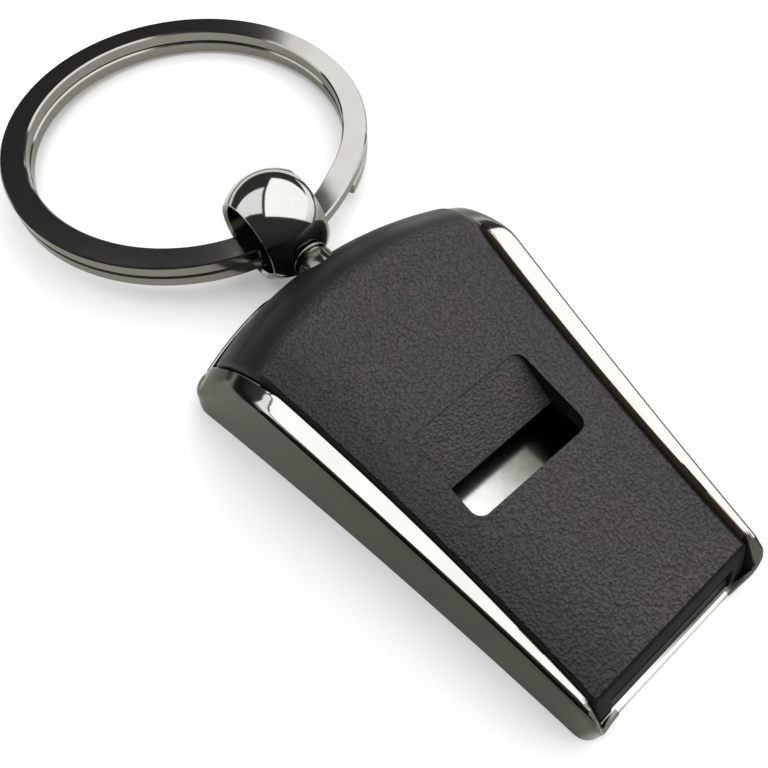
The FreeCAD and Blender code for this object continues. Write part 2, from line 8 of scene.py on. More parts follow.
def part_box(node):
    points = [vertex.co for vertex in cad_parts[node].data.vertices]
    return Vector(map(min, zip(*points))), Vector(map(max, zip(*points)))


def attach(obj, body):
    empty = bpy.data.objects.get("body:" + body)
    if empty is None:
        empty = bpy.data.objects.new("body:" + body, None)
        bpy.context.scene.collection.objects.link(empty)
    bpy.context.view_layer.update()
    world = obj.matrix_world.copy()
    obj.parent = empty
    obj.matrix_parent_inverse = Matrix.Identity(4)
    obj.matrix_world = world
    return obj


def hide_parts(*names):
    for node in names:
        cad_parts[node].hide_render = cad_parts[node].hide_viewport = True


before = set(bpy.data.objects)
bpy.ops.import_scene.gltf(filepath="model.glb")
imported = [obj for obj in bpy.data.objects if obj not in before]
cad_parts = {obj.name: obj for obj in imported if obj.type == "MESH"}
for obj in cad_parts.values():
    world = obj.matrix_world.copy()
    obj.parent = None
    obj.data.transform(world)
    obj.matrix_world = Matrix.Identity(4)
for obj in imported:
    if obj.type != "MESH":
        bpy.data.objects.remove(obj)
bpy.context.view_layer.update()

MM = 0.001

# Camera: hand-held close above the mouthpiece end, looking along the whistle to the ring.
# The lens and the place were worked out from the round ring and the ball in the photograph.
CAMERA_PLACE = Vector((-16.95, -10.67, 48.41)) * MM
CAMERA_LOOK = Vector((0.2896, 0.3352, -0.8965))
camera_data = bpy.data.cameras.new("close_camera")
camera_data.sensor_width = 36.0
camera_data.lens = 34.45
camera_data.clip_start = 0.002
camera_data.clip_end = 20.0
camera = bpy.data.objects.new("close_camera", camera_data)
camera.location = CAMERA_PLACE
camera.rotation_mode = "QUATERNION"
camera.rotation_quaternion = CAMERA_LOOK.to_track_quat("-Z", "Y")
bpy.context.scene.collection.objects.link(camera)
bpy.context.scene.camera = camera
bpy.context.scene.view_settings.view_transform = "Standard"

# Table: a plain white sheet that shows as pure white to the camera and keeps the shadow.
# It also shows in the plating, so the metal reads as metal. Its paint is the first of all.
TABLE_HALF = 3.0
TABLE_LEVEL = -0.02 * MM
TABLE_WHITE = (0.8, 0.8, 0.8)
TABLE_LIFT = (0.25, 0.25, 0.25)
NO_LIFT = (0.0, 0.0, 0.0)


class Wire:
    """A socket in a material, on which the usual arithmetic adds Math nodes."""

    def __init__(self, paint, socket):
        self.paint = paint
        self.socket = socket

    def maths(self, operation, *others):
        return self.paint.node("ShaderNodeMath", {"operation": operation}, dict(enumerate((self, *others))))

    def __add__(self, other):
        return self.maths("ADD", other)

    def __radd__(self, other):
        return self.maths("ADD", other)

    def __sub__(self, other):
        return self.maths("SUBTRACT", other)

    def __rsub__(self, other):
        return self.paint.node("ShaderNodeMath", {"operation": "SUBTRACT"}, {0: other, 1: self})

    def __mul__(self, other):
        return self.maths("MULTIPLY", other)

    def __rmul__(self, other):
        return self.maths("MULTIPLY", other)

    def clipped(self):
        return self.paint.node("ShaderNodeClamp", {}, {"Value": self})

    def between(self, low, high):
        """0 below low, 1 above high and smooth between."""
        return self.paint.node("ShaderNodeMapRange", {"interpolation_type": "SMOOTHSTEP"},
                               {"Value": self, "From Min": low, "From Max": high})


class Paint:
    """One material, its Principled shader, and the means to add nodes to it."""

    def __init__(self, name):
        self.material = bpy.data.materials.new(name)
        self.material.use_nodes = True
        self.tree = self.material.node_tree
        self.shader = self.tree.nodes["Principled BSDF"]

    def node(self, kind, settings, values, output=0):
        """Add a node: its settings first, then its sockets. Gives one output."""
        made = self.tree.nodes.new(kind)
        for key, setting in settings.items():
            setattr(made, key, setting)
        for key, value in values.items():
            self.put(made.inputs[key], value)
        return Wire(self, made.outputs[output])

    def put(self, socket, value):
        """Link a wire to a socket, or set the socket to a number or a colour."""
        if isinstance(value, Wire):
            self.tree.links.new(value.socket, socket)
        elif hasattr(value, "__len__") and len(value) == 3 and socket.type == "RGBA":
            socket.default_value = (*value, 1.0)
        else:
            socket.default_value = value

    def set(self, **values):
        """Set the shader's sockets. A name's underscores stand for spaces."""
        for key, value in values.items():
            self.put(self.shader.inputs[key.replace("_", " ")], value)
        return self

    def place(self):
        return self.node("ShaderNodeTexCoord", {}, {}, "Object")

    def axis(self, vector, index):
        """One of a vector's three numbers."""
        return self.node("ShaderNodeSeparateXYZ", {}, {"Vector": vector}, index)

    def upright(self):
        """How far a surface faces up: 1 where it lies flat, 0 on a wall."""
        return self.axis(self.node("ShaderNodeTexCoord", {}, {}, "Normal"), 2)

    def noise(self, scale, detail=3.0, roughness=0.5, where=None, output=0):
        return self.node("ShaderNodeTexNoise", {"noise_dimensions": "3D"},
                         {"Vector": where or self.place(), "Scale": scale, "Detail": detail,
                          "Roughness": roughness}, output)

    def mix(self, share, first, second):
        return self.node("ShaderNodeMix", {"data_type": "RGBA"}, {0: share, 6: first, 7: second}, 2)

    def bump(self, height, distance, strength):
        relief = {"Height": height, "Distance": distance, "Strength": strength}
        return self.set(Normal=self.node("ShaderNodeBump", {}, relief))


def cover(piece, *paints):
    """Give a piece its materials. Every face takes the first."""
    piece.data.materials.clear()
    for paint in paints:
        piece.data.materials.append(paint.material)


table_mesh = bpy.data.meshes.new("table")
table_form = bmesh.new()
bmesh.ops.create_grid(table_form, x_segments=1, y_segments=1, size=TABLE_HALF)
bmesh.ops.translate(table_form, verts=table_form.verts, vec=(0, 0, TABLE_LEVEL))
table_form.to_mesh(table_mesh)
table_form.free()
table = bpy.data.objects.new("table", table_mesh)
bpy.context.scene.collection.objects.link(table)
table_paint = Paint("table_white")
table_paint.set(Base_Color=TABLE_WHITE, Roughness=0.9, Specular_IOR_Level=0.0)
by_camera = table_paint.node("ShaderNodeLightPath", {}, {}, "Is Camera Ray")
by_gloss = table_paint.node("ShaderNodeLightPath", {}, {}, "Is Glossy Ray")
by_glass = table_paint.node("ShaderNodeLightPath", {}, {}, "Is Transmission Ray")
lift = table_paint.mix((by_camera + by_gloss + by_glass).clipped(), NO_LIFT, TABLE_LIFT)
table_paint.set(Emission_Color=lift, Emission_Strength=1.0)
cover(table, table_paint)

# Light: a wide soft box overhead, one that carries on to the right, and a weaker card on the
# left. The room round them is dark, so the plating shows clear shapes.
RIGHT = Vector((0.757, -0.654, 0.0))
AHEAD = Vector((0.654, 0.757, 0.0))
UP = Vector((0.0, 0.0, 1.0))
SUBJECT = Vector((0.0, 5.0, 0.0)) * MM
LAMP_HEIGHT = 0.6
ROOM_DARK = (0.06, 0.06, 0.06, 1.0)


def soft_box(name, right, ahead, radiance):
    """A flat lamp above the object. right and ahead are its two spans as shares of its height."""
    lamp = bpy.data.lights.new(name, "AREA")
    lamp.shape = "RECTANGLE"
    lamp.size = (right[1] - right[0]) * LAMP_HEIGHT
    lamp.size_y = (ahead[1] - ahead[0]) * LAMP_HEIGHT
    lamp.energy = radiance * math.pi * lamp.size * lamp.size_y
    middle = RIGHT * (sum(right) / 2 * LAMP_HEIGHT) + AHEAD * (sum(ahead) / 2 * LAMP_HEIGHT)
    turned = Matrix((RIGHT, AHEAD, UP)).transposed().to_4x4()
    item = bpy.data.objects.new(name, lamp)
    item.matrix_world = Matrix.Translation(SUBJECT + middle + UP * LAMP_HEIGHT) @ turned
    bpy.context.scene.collection.objects.link(item)


soft_box("overhead_box", right=(-0.27, 2.6), ahead=(-0.42, 2.2), radiance=2.3)
soft_box("far_right_box", right=(2.6, 14.0), ahead=(-0.42, 9.0), radiance=1.9)
soft_box("left_card", right=(-3.6, -0.38), ahead=(-0.28, 0.88), radiance=1.7)
world = bpy.data.worlds.new("room")
bpy.context.scene.world = world
world.use_nodes = True
world.node_tree.nodes["Background"].inputs["Color"].default_value = ROOM_DARK

# Tray: one zinc casting, a thin plate with a raised rail along each side and a lip at the mouth.
# It is tumbled, polished and plated with black nickel; its walls are painted darker than its top, as painted
# shade.
# Its sizes are in millimetres, and Y counts from the mouth until a section is placed.
LENGTH = 37.2
MOUTH_HALF = 7.85
RING_HALF = 12.75
RING_BOW = 3.4
SIDE_WAIST = 0.3
WALL_LEAN = math.tan(math.radians(5.0))
PLATE = 0.8
INNER_MOUTH_HALF = 6.95
INNER_RING_HALF = 10.4
INNER_WAIST = 0.6
LIP = 0.5
SIDE_END = LENGTH - RING_BOW
END_RADIUS = (RING_BOW ** 2 + RING_HALF ** 2) / (2 * RING_BOW)
END_CENTRE = Vector((0.0, LENGTH - END_RADIUS))
RAIL_HEIGHT = 4.45
RAIL_RISE = math.tan(math.radians(6.95))
NOSE_ROUND = 1.8
NOSE_BLEND = 0.02
TIP_CENTRE = Vector((25.8, -4.08))
TIP_RADIUS = 12.48
TIP_BLEND = 0.25
MOUTH_CORNER = 1.2
RING_CORNER = 1.7
RAIL_EDGE = 0.5
TIP_EDGE = 0.95
INNER_EDGE = 0.2


def drawn_in(near, far, waist, share):
    """A half width between two ends, drawn in by a waist half way."""
    return near + (far - near) * share - 4 * waist * share * (1 - share)


def outer_half(y):
    return drawn_in(MOUTH_HALF, RING_HALF, SIDE_WAIST, y / SIDE_END)


def inner_half(y):
    return drawn_in(INNER_MOUTH_HALF, INNER_RING_HALF, INNER_WAIST, (y - LIP) / (SIDE_END - LIP))


def smooth_step(low, high, value):
    share = min(max((value - low) / (high - low), 0.0), 1.0)
    return share * share * (3 - 2 * share)


def softly_lower(first, second, blend):
    """The lower of two heights, rounded off where they meet."""
    share = min(max(0.5 + 0.5 * (second - first) / blend, 0.0), 1.0)
    return second + (first - second) * share - blend * share * (1 - share)


# its rails sweep up from the lip round the mouthpiece, later the further they are from the side
SWEEP_LENGTH = 2.5
SWEEP_FOOT = 4.9
SWEEP_WIDTH = 2.9
SWEEP_SLANT = 0.3
SWEEP_CURVE = 2.4


def rail_height(x, y):
    """The height of the casting's rim at a place in the plan."""
    line = RAIL_HEIGHT + RAIL_RISE * y
    reach = (Vector((x, y)) - END_CENTRE).length + END_CENTRE.y
    tip = TIP_CENTRE.y + math.sqrt(max(TIP_RADIUS ** 2 - max(reach - TIP_CENTRE.x, 0.0) ** 2, 0.0))
    nose_depth = max(NOSE_ROUND - y, 0.0)
    nose = RAIL_HEIGHT - NOSE_ROUND + math.sqrt(max(NOSE_ROUND ** 2 - nose_depth ** 2, 0.0)) + RAIL_RISE * y
    height = softly_lower(softly_lower(line, tip, TIP_BLEND), nose if y < NOSE_ROUND else line, NOSE_BLEND)
    if y >= SWEEP_LENGTH:
        return height
    towards_rail = min(max((abs(x) + SWEEP_SLANT * y - SWEEP_FOOT) / SWEEP_WIDTH, 0.0), 1.0)
    return PLATE + (height - PLATE) * towards_rail ** SWEEP_CURVE


SLOPE_STEP = 0.01
CORNER_SEARCH = 6.0
HALVINGS = 40


def side_slope(y):
    return (outer_half(y + SLOPE_STEP) - outer_half(y - SLOPE_STEP)) / (2 * SLOPE_STEP)


def ring_corner_centre():
    """The centre of the round between a side and the ring end, found by halving."""
    low, high = SIDE_END - CORNER_SEARCH, SIDE_END
    for _ in range(HALVINGS):
        y = (low + high) / 2
        x = outer_half(y) - RING_CORNER * math.hypot(1.0, side_slope(y))
        if (Vector((x, y)) - END_CENTRE).length < END_RADIUS - RING_CORNER:
            low = y
        else:
            high = y
    return Vector((x, y))


# its rim is a row of stations, each with a place on the outline, the way out and the inner edge
LIP_HALF = 6.6
LIP_SETBACK = 0.1
LIP_FADE = (4.0, 6.7)
LIP_STEPS = 24
MOUTH_CORNER_STEPS = 10
SIDE_STEPS = 70
SIDE_MARGIN = 0.2
INNER_LAG = 0.6
RING_CORNER_STEPS = 14
RING_CORNER_SHARE = 0.7
BOW_STEPS = 8
BOW_MARGIN = 0.02
INNER_SETBACK = 0.4


def lip_stations():
    """Half of the lip, from the middle of the mouth to the corner."""
    stations = []
    for step in range(LIP_STEPS + 1):
        x = LIP_HALF * step / LIP_STEPS
        setback = LIP_SETBACK * (1 - smooth_step(*LIP_FADE, x))
        stations.append((Vector((x, setback)), Vector((0.0, -1.0)), Vector((x, LIP))))
    return stations


def mouth_corner_stations():
    """The round between the lip and the side."""
    slope = side_slope(MOUTH_CORNER)
    centre = Vector((outer_half(MOUTH_CORNER) - MOUTH_CORNER * math.hypot(1.0, slope), MOUTH_CORNER))
    stations = []
    for step in range(MOUTH_CORNER_STEPS + 1):
        angle = -math.pi / 2 + (math.pi / 2 - math.atan(slope)) * step / MOUTH_CORNER_STEPS
        out = Vector((math.cos(angle), math.sin(angle)))
        stations.append((centre + MOUTH_CORNER * out, out, Vector((INNER_MOUTH_HALF, LIP))))
    return stations


def side_stations(corner):
    """The drawn-in side, up to the round at the ring end."""
    first_y = MOUTH_CORNER + SIDE_MARGIN
    stations = []
    for step in range(1, SIDE_STEPS + 1):
        share = step / SIDE_STEPS
        y = first_y + (corner.y - SIDE_MARGIN - first_y) * share
        out = Vector((1.0, -side_slope(y))).normalized()
        inner_y = LIP + (corner.y - INNER_LAG - LIP) * share
        stations.append((Vector((outer_half(y), y)), out, Vector((inner_half(inner_y), inner_y))))
    return stations


def arc_stations(centre, radius, angles, inner_span, steps):
    """A stretch along an arc, while the inner edge moves on along its own line."""
    stations = []
    for step in range(1, steps + 1):
        angle = angles[0] + (angles[1] - angles[0]) * step / steps
        out = Vector((math.cos(angle), math.sin(angle)))
        inner_y = inner_span[0] + (inner_span[1] - inner_span[0]) * step / steps
        stations.append((centre + radius * out, out, Vector((inner_half(inner_y), inner_y))))
    return stations


def rim_path():
    """The stations along the right half of the rim, from the middle of the lip to the bowed end."""
    corner = ring_corner_centre()
    path = lip_stations() + mouth_corner_stations() + side_stations(corner)
    inner_side = path[-1][2].y
    inner_end = math.sqrt(END_RADIUS ** 2 - inner_half(SIDE_END) ** 2) + END_CENTRE.y - INNER_SETBACK
    inner_turn = inner_side + (inner_end - inner_side) * RING_CORNER_SHARE
    side_angle = -math.atan(side_slope(corner.y))
    bow_angle = math.atan2(corner.y - END_CENTRE.y, corner.x)
    last_angle = math.acos((inner_half(SIDE_END) + BOW_MARGIN) / END_RADIUS)
    path += arc_stations(corner, RING_CORNER, (side_angle, bow_angle),
                         (inner_side, inner_turn), RING_CORNER_STEPS)
    path += arc_stations(END_CENTRE, END_RADIUS, (bow_angle, last_angle),
                         (inner_turn, inner_end), BOW_STEPS)
    return path


# its rim's section: a leaning wall, a rolled outer edge, a top that follows the rails and a small
# chamfer inside. The roll grows towards the tips and takes no more than the rim's width allows.
CREST_DEPTH = 0.6
CREST_SHARE = 0.6
TIP_EDGE_FADE = (SIDE_END - 9.0, SIDE_END - 2.5)
EDGE_SHARE = 0.45
EDGE_MARGIN = 0.02
LEAST_ROOM = 0.01
ROLL_STEPS = 8
CHAMFER_FADE = (0.9, 1.6)
CHAMFER_SHARE = 0.4
CHAMFER_BULGE = 0.7


def rim_section(outline, out, inner):
    """One closed section of the casting's rim, from the outside foot round to the inside foot."""
    width = (inner - outline).length
    height = rail_height(*(outline - out * min(CREST_DEPTH, CREST_SHARE * width)))
    at_tip = smooth_step(*TIP_EDGE_FADE, outline.y)
    edge = min(RAIL_EDGE + (TIP_EDGE - RAIL_EDGE) * at_tip, EDGE_SHARE * height)
    wall = height - edge
    room = max(width - WALL_LEAN * wall - INNER_EDGE - EDGE_MARGIN, LEAST_ROOM)
    rolled = math.acos(max(1.0 - room / edge, 0.0))
    points = [(outline, 0.0), (outline - out * WALL_LEAN * 0.5 * wall, 0.5 * wall)]
    for step in range(ROLL_STEPS + 1):
        angle = rolled * step / ROLL_STEPS
        place = outline - out * (WALL_LEAN * wall + edge * (1 - math.cos(angle)))
        follow = (rail_height(*place) - height) * math.sin(angle) ** 4
        points.append((place, wall + edge * math.sin(angle) + follow))
    rolled_to = points[-1][0]
    rolled_off = edge * (1 - math.sin(rolled))
    top_width = (inner - rolled_to).length
    chamfer = min(INNER_EDGE * smooth_step(*CHAMFER_FADE, height), CHAMFER_SHARE * top_width)
    inset = inner - (inner - rolled_to).normalized() * chamfer
    for share in (0.25, 0.5, 0.75, 1.0):
        place = rolled_to.lerp(inset, share)
        points.append((place, rail_height(*place) - rolled_off))
    top = points[-1][1]
    drop = (inner - inset).length
    points.append((inset.lerp(inner, CHAMFER_BULGE), top - (1 - CHAMFER_BULGE) * drop))
    points.append((inner, top - drop))
    points.append((inner, 0.0))
    points.append(points[0])
    return [Vector((place.x, place.y - LENGTH / 2, level)) * MM for place, level in points]


def skin(form, sections):
    """A sheet through sections of equal length, made by bending a grid."""
    rows = len(sections) - 1
    columns = len(sections[0]) - 1
    made = bmesh.ops.create_grid(form, x_segments=columns, y_segments=rows, size=0.5)
    for vert in made["verts"]:
        column = round((vert.co.x + 0.5) * columns)
        row = round((vert.co.y + 0.5) * rows)
        vert.co = sections[row][column]


def mirrored(points):
    return [Vector((-point.x, point.y, point.z)) for point in points]


TOUCHING = 0.0004


def close_up(form):
    """Join what touches and fill the openings left at the ends."""
    bmesh.ops.remove_doubles(form, verts=form.verts, dist=TOUCHING * MM)
    open_edges = [edge for edge in form.edges if edge.is_boundary]
    bmesh.ops.holes_fill(form, edges=open_edges, sides=0)
    bmesh.ops.recalc_face_normals(form, faces=form.faces)


def finished(form, name, body, sharp_angle):
    """Turn a bmesh into a piece: smooth faces, and creases where it bends by more than an angle."""
    for face in form.faces:
        face.smooth = True
    for edge in form.edges:
        edge.smooth = edge.calc_face_angle(math.pi) < math.radians(sharp_angle)
    mesh = bpy.data.meshes.new(name)
    form.to_mesh(mesh)
    form.free()
    piece = bpy.data.objects.new(name, mesh)
    bpy.context.scene.collection.objects.link(piece)
    shading = piece.modifiers.new("even_shading", "WEIGHTED_NORMAL")
    shading.keep_sharp = True
    shading.weight = 60
    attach(piece, body)
    return piece


CLOUD_SCALE = 260.0
HAIRLINE_SCALE = 2600.0
CLOUD_TINT = (0.20, 0.18, 0.14)
RIPPLE_DEPTH = 0.01 * MM
RING_END_REFLECTION_FADE = (-4.0 * MM, 16.0 * MM)


def black_nickel(name, lit_top, shaded_walls, roughness, grazing=1.0, turning=0.45, ring_end_reflection=None):
    """Polished plating with faint clouds, hairlines and a slight ripple of the casting.

    Its colour is painted light and shade: the first colour where it faces up by more than turning,
    as a lit top, and the darker second colour on the walls, as painted shade. ring_end_reflection is a
    lighter painted reflection on the walls at the ring end, and grazing how much it shines at a flat angle.
    """
    paint = Paint(name)
    cloud = paint.noise(CLOUD_SCALE, 3.0, 0.55)
    fine = paint.noise(HAIRLINE_SCALE, 2.0, 0.5)
    # the walls are painted lighter towards the ring end, as a painted reflection
    if ring_end_reflection:
        along = paint.axis(paint.place(), 1)
        shaded_walls = paint.mix(along.between(*RING_END_REFLECTION_FADE), shaded_walls, ring_end_reflection)
    # painted light and shade: the lit colour where it faces up, the darker one on the walls
    shade = paint.mix(paint.upright().between(turning, 0.5 * turning + 0.5), shaded_walls, lit_top)
    tinted = paint.mix(cloud.between(0.35, 0.75) * 0.12, shade, CLOUD_TINT)
    paint.set(Base_Color=tinted, Metallic=1.0, Roughness=roughness + 0.05 * cloud + 0.02 * fine,
              Specular_Tint=(grazing, grazing, 0.94 * grazing, 1.0))
    paint.bump(0.6 * cloud + 0.4 * fine, RIPPLE_DEPTH, 0.12)
    return paint


path = rim_path()
right_rim = [rim_section(*station) for station in path]
rim = [mirrored(section) for section in reversed(right_rim[1:])] + right_rim
form = bmesh.new()
skin(form, rim)
close_up(form)

# its plate, from the rim's inner foot to the bowed ring end, where a low rim stands beside the ball.
# A level is a height, how far it is set in along the bow, and its share of the low rim.
PLATE_EDGE = 0.12
END_RIM = 0.45
END_RIM_FADE = (2.6, 4.4)
PLATE_BOW_STEPS = 24
PLATE_LEVELS = (
    (0.0, 0.0, 0.0),
    (PLATE - PLATE_EDGE, 0.07, 1.0),
    (PLATE - 0.3 * PLATE_EDGE, 0.13, 1.0),
    (PLATE, 0.24, 1.0),
    (PLATE, 0.36, 1.0),
    (PLATE, 0.52, 0.0),
)


def plate_plan(inner_path):
    """The plate's closed outline. Each place comes with 1 on the bow and 0 under the rails."""
    first_angle = math.atan2(inner_path[-1].y - END_CENTRE.y, inner_path[-1].x)
    half = [(place, 0.0) for place in inner_path]
    for step in range(PLATE_BOW_STEPS + 1):
        angle = first_angle + (math.pi / 2 - first_angle) * step / PLATE_BOW_STEPS
        half.append((END_CENTRE + END_RADIUS * Vector((math.cos(angle), math.sin(angle))), 1.0))
    other_half = [(Vector((-place.x, place.y)), on_bow) for place, on_bow in reversed(half[1:-1])]
    return half + other_half + half[:1]


def plate_level(plan, height, inset, raised):
    """The plan at one level."""
    level = []
    for place, on_bow in plan:
        low_rim = raised * on_bow * END_RIM * smooth_step(*END_RIM_FADE, abs(place.x))
        level.append(Vector((place.x, place.y - inset * on_bow - LENGTH / 2, height + low_rim)) * MM)
    return level


plan = plate_plan([inner for outline, out, inner in path])
plate_form = bmesh.new()
skin(plate_form, [plate_level(plan, *level) for level in PLATE_LEVELS])
close_up(plate_form)
plate_mesh = bpy.data.meshes.new("plate_part")
plate_form.to_mesh(plate_mesh)
plate_form.free()
form.from_mesh(plate_mesh)

# and its boss, which holds the swivel's pin inside the shell
BOSS_WIDTH = 4.8
BOSS_LENGTH = 2.4
BOSS_RISE = 4.6
BOSS_BACK = 5.9
boss = bmesh.ops.create_cube(form, size=1.0)["verts"]
bmesh.ops.scale(form, verts=boss, vec=Vector((BOSS_WIDTH, BOSS_LENGTH, BOSS_RISE)) * MM)
boss_middle = Vector((0.0, LENGTH / 2 - BOSS_BACK, PLATE + BOSS_RISE / 2))
bmesh.ops.translate(form, verts=boss, vec=boss_middle * MM)

# Every plating here is lighter on its top than on its walls: painted light and shade. The tray's walls are
# also painted lighter towards the ring end, as a painted reflection.
tray_paint = black_nickel("tray_plating", lit_top=(0.42, 0.415, 0.40), shaded_walls=(0.058, 0.057, 0.051),
                          roughness=0.08, grazing=0.58, turning=0.84, ring_end_reflection=(0.115, 0.112, 0.103))
wall_paint = black_nickel("inner_wall_plating", lit_top=(0.50, 0.45, 0.36), shaded_walls=(0.17, 0.13, 0.075),
                          roughness=0.3)
wall_paint.set(Metallic=0.3)
corner_paint = black_nickel("corner_plating", lit_top=(0.17, 0.165, 0.14), shaded_walls=(0.085, 0.082, 0.068),
                            roughness=0.22, grazing=0.6)
corner_paint.set(Metallic=0.75)
# The lip's and the bow's faces that turn outwards are painted bright, as a painted highlight.
lip_highlight_paint = black_nickel("lip_plating_painted_highlight", lit_top=(0.44, 0.435, 0.42), shaded_walls=(0.72, 0.71, 0.69),
                         roughness=0.06)

# The plate below the window darkens towards the right along a wandering edge, as painted shade from the ramp
# above it
FLOOR_BRIGHT = (0.44, 0.435, 0.42)
FLOOR_SHADED = (0.075, 0.078, 0.062)
SHADE_FADE = (-3.2 * MM, 2.8 * MM)
SHADE_WANDER = 1.2 * MM
floor_paint = Paint("floor_plating")
floor_cloud = floor_paint.noise(900.0, 3.0, 0.6)
floor_across = floor_paint.axis(floor_paint.place(), 0)
# painted shade on the plate, from the ramp above it
shade_share = (floor_across + SHADE_WANDER * (floor_cloud - 0.5)).between(*SHADE_FADE)
floor_paint.set(Base_Color=floor_paint.mix(shade_share, FLOOR_BRIGHT, FLOOR_SHADED),
                Metallic=1.0, Roughness=0.10 + 0.08 * floor_cloud)

# Where each plating lies on the tray, as half widths and as places along it from its middle
OWN_PLATING, WALL_PLATING, LIP_HIGHLIGHT_PLATING, CORNER_PLATING, FLOOR_PLATING = range(5)
FLOOR_HALF = 2.0
FLOOR_REACH = 8.0
CORNER_FROM = 5.3
CORNER_END = 2.4 - LENGTH / 2
BRIGHT_LIP_HALF = 5.2
LIP_END = LIP - LENGTH / 2
BOW_HALF = 10.3
BOW_FROM = 14.5
RAIL_FOOT = PLATE + 0.05
BOW_TOP = PLATE + END_RIM + 0.05
UNDERSIDE = 0.02


def plating_on(face):
    """The number of the plating that a face of the tray takes."""
    middle = face.center / MM
    normal = face.normal
    lies_on_plate = normal.z > 0.99 and abs(middle.z - PLATE) < 0.01
    if lies_on_plate and abs(middle.x) < FLOOR_HALF and abs(middle.y) < FLOOR_REACH:
        return FLOOR_PLATING
    on_rail = middle.z > RAIL_FOOT
    turned_in = middle.x * normal.x < 0 or normal.y < -0.45
    if abs(middle.x) > CORNER_FROM and middle.y < CORNER_END and turned_in and normal.z > -0.2:
        return CORNER_PLATING
    if on_rail and middle.x * normal.x < 0 and abs(normal.x) > 0.6:
        return WALL_PLATING
    at_lip = not on_rail and abs(middle.x) < BRIGHT_LIP_HALF and middle.y < LIP_END
    at_end = middle.y > BOW_FROM and middle.z < BOW_TOP
    at_bow = at_end and abs(middle.x) < BOW_HALF and normal.z > 0.2
    if (at_lip or at_bow) and middle.z > UNDERSIDE:
        return LIP_HIGHLIGHT_PLATING
    return OWN_PLATING


tray = finished(form, "plated_tray", "body", sharp_angle=32.0)
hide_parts("frame_tray")
cover(tray, tray_paint, wall_paint, lip_highlight_paint, corner_paint, floor_paint)
for face in tray.data.polygons:
    face.material_index = plating_on(face)

# Shell: moulded in black plastic, with a fine leather grain from the mould on its roof and on
# the ramp of its window. The bands round its edges are smooth, and painted darker as painted shade.
# It is pressed between the rails.
WARP_SCALE = 1500.0
CELL_SCALE = 4700.0
PIT_SCALE = 5200.0
PATCH_SCALE = 230.0
GRAIN_WARP = 0.25 * MM
GRAIN_DEPTH = 0.22 * MM
WARM_BLACK = Vector((0.060, 0.052, 0.055))
COOL_BLACK = Vector((0.050, 0.0515, 0.050))
LEFT_SHADE_BLACK = Vector((0.018, 0.017, 0.0175))
PIT_SHADE_BLACK = (0.006, 0.006, 0.006)
SMOOTH_SHADED_BLACK = (0.009, 0.009, 0.009)
SHELL_MOUTH_HALF = 7.0
SHELL_FLARE = 0.1036
LEFT_SHADE_FADE = (-1.0 * MM, 7.0 * MM)


def grained_black(name, all_over):
    """Moulded black with a leather grain, either all over or only where it faces up."""
    brightness = 1.1 if all_over else 1.0
    pit_shade_share = 0.46 if all_over else 0.62
    paint = Paint(name)
    place = paint.place()
    warp = paint.noise(WARP_SCALE, 2.0, 0.5, place, 1)
    warped = paint.node("ShaderNodeVectorMath", {"operation": "MULTIPLY_ADD"},
                        {0: warp, 1: (GRAIN_WARP, GRAIN_WARP, GRAIN_WARP), 2: place})
    cells = paint.node("ShaderNodeTexVoronoi", {"feature": "SMOOTH_F1"},
                       {"Vector": warped, "Scale": CELL_SCALE, "Smoothness": 0.35}, "Distance")
    pits = paint.noise(PIT_SCALE, 3.0, 0.65, place)
    grain = (1.0 - cells) * 0.5 + pits * 0.5
    # Faces that turn away from the top lose the grain and take a darker black: smooth, and painted shade.
    cover_share = 1.0 if all_over else paint.upright().between(0.90, 0.988)
    from_mouth = paint.axis(place, 1) + LENGTH / 2 * MM
    from_left = paint.axis(place, 0) + SHELL_MOUTH_HALF * MM + SHELL_FLARE * from_mouth
    patches = paint.mix(paint.noise(PATCH_SCALE, 2.0, 0.5).between(0.42, 0.58),
                        COOL_BLACK * brightness, WARM_BLACK * brightness)
    # The roof is painted darker towards its left side, as painted shade.
    light = paint.mix(from_left.between(*LEFT_SHADE_FADE), LEFT_SHADE_BLACK * brightness, patches)
    # The grain's hollows are painted darker, as painted shade in them.
    grained = paint.mix(grain.between(0.40, 0.64), paint.mix(pit_shade_share, light, PIT_SHADE_BLACK), light)
    cloud = paint.noise(420.0, 2.0, 0.5)
    paint.set(Base_Color=paint.mix(cover_share, SMOOTH_SHADED_BLACK, grained), Roughness=0.36 + 0.08 * cloud,
              Specular_IOR_Level=0.24)
    paint.bump(grain * cover_share, GRAIN_DEPTH, 0.65 if all_over else 0.9)
    return paint


roof_paint = grained_black("grained_roof", False)
ramp_paint = grained_black("grained_ramp", True)
# The bands are smooth, and painted darker than the roof's black, as painted shade.
band_paint = Paint("smooth_shaded_bands")
band_paint.set(Base_Color=(0.010, 0.010, 0.010), Roughness=0.42 + 0.1 * band_paint.noise(700.0),
               Specular_IOR_Level=0.17)
mouth_paint = Paint("matte_mouth")
mouth_paint.set(Base_Color=(0.010, 0.010, 0.011), Roughness=0.6 + 0.2 * mouth_paint.noise(1200.0),
                Specular_IOR_Level=0.06)

SAME_PLACE = 0.002
SAME_PLANE = 0.4
CREASE = 28.0


def dressed(node, name, body):
    """A copy of a CAD node whose triangles are joined, so that its curves shade smoothly."""
    form = bmesh.new()
    form.from_mesh(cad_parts[node].data)
    bmesh.ops.remove_doubles(form, verts=form.verts, dist=SAME_PLACE * MM)
    bmesh.ops.dissolve_limit(form, angle_limit=math.radians(SAME_PLANE), verts=form.verts, edges=form.edges)
    piece = finished(form, name, body, CREASE)
    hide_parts(node)
    return piece


# Where each surface lies on the shell, as for the tray
ROOF, RAMP, MOUTH, BAND = range(4)
RAMP_HALF = 4.2
RAMP_START = -8.0
RAMP_END = 4.0
MOUTH_FACE_END = -15.0


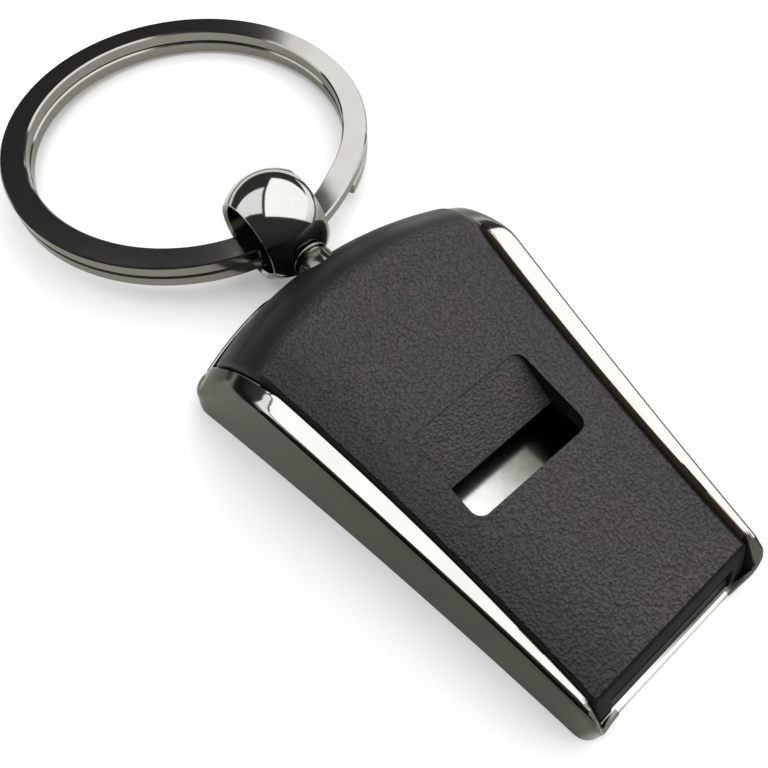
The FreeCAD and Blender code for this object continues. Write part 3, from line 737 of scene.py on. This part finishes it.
def surface_on(face):
    """The number of the surface that a face of the shell has."""
    middle = face.center / MM
    in_window = abs(middle.x) < RAMP_HALF and RAMP_START < middle.y < RAMP_END
    if in_window and 0.4 < face.normal.z < 0.97:
        return RAMP
    if middle.y < MOUTH_FACE_END and face.normal.y < -0.25:
        return MOUTH
    return BAND if face.normal.z < 0.8 else ROOF


shell = dressed("whistle_shell", "grained_shell", "body")
cover(shell, roof_paint, ramp_paint, mouth_paint, band_paint)
for face in shell.data.polygons:
    face.material_index = surface_on(face)

# Windway block: a smooth moulded plug of the same plastic. It is pressed into the shell's mouth
# under the roof and leaves the thin slot that the air goes through.
block_paint = Paint("smooth_black")
block_paint.set(Base_Color=(0.008, 0.008, 0.008), Roughness=0.4 + 0.08 * block_paint.noise(900.0),
                Specular_IOR_Level=0.06)
block = dressed("windway_block", "air_slot_block", "body")
cover(block, block_paint)

# Ball: turned brass, bored across for the ring and drilled for the pin it turns on. It is
# polished and plated like the tray, a little brighter.
ball = dressed("swivel_ball", "bored_ball", "ball")
cover(ball, black_nickel("ball_plating", lit_top=(0.40, 0.395, 0.38), shaded_walls=(0.165, 0.165, 0.14),
                         roughness=0.05))

# Pin: turned steel with a flat head inside the ball and a peened end inside the shell. Only a
# glint of its head shows through the ball's bore.
steel_paint = Paint("turned_steel")
steel_paint.set(Base_Color=(0.42, 0.41, 0.40), Metallic=1.0, Roughness=0.22 + 0.1 * steel_paint.noise(1800.0))
pin = dressed("swivel_pin", "headed_pin", "body")
cover(pin, steel_paint)

# Washer: a plain steel ring between the tray's boss and the pin's peened end, out of sight
# in the sound chamber.
washer = dressed("retaining_washer", "peened_washer", "body")
cover(washer, steel_paint)

# Collar: turned brass, plated. A small bead stands by the ball, and a plain sleeve behind it
# passes through the shell's wall. A point of the bead is a way back from the end and a rise.
COLLAR_BORE = 0.9
COLLAR_STEPS = 64
BEAD = (
    (0.0, -0.16), (0.06, -0.05), (0.14, 0.0), (0.22, 0.0), (0.30, -0.05), (0.36, -0.20), (0.46, -0.26),
    (0.56, -0.20), (0.62, -0.05), (0.70, 0.0),
)
collar_low, collar_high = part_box("neck_collar")
collar_radius = (collar_high[0] - collar_low[0]) / 2 / MM
collar_start = collar_low[1] / MM
collar_end = collar_high[1] / MM
collar_height = (collar_high[2] + collar_low[2]) / 2 / MM
collar_profile = [(collar_end, COLLAR_BORE)]
collar_profile += [(collar_end - back, collar_radius + rise) for back, rise in BEAD]
collar_profile += [(collar_start, collar_radius), (collar_start, COLLAR_BORE), (collar_end, COLLAR_BORE)]


def collar_turn(angle):
    """The collar's profile, turned by an angle about the swivel's axis."""
    return [Vector((radius * math.cos(angle), along, collar_height + radius * math.sin(angle))) * MM
            for along, radius in collar_profile]


collar_form = bmesh.new()
skin(collar_form, [collar_turn(2 * math.pi * step / COLLAR_STEPS) for step in range(COLLAR_STEPS + 1)])
close_up(collar_form)
collar = finished(collar_form, "beaded_collar", "body", sharp_angle=50.0)
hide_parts("neck_collar")
cover(collar, black_nickel("collar_plating", lit_top=(0.20, 0.195, 0.18), shaded_walls=(0.07, 0.069, 0.06),
                           roughness=0.1, grazing=0.6))

# Split ring: flat spring steel wound twice, plated like the tray. It hangs in the ball's bore,
# and keys are pushed on between its two turns.
ring = dressed("split_ring", "split_key_ring", "ring")
cover(ring, black_nickel("ring_plating", lit_top=(0.30, 0.295, 0.28), shaded_walls=(0.19, 0.186, 0.16),
                         roughness=0.08, grazing=0.8))
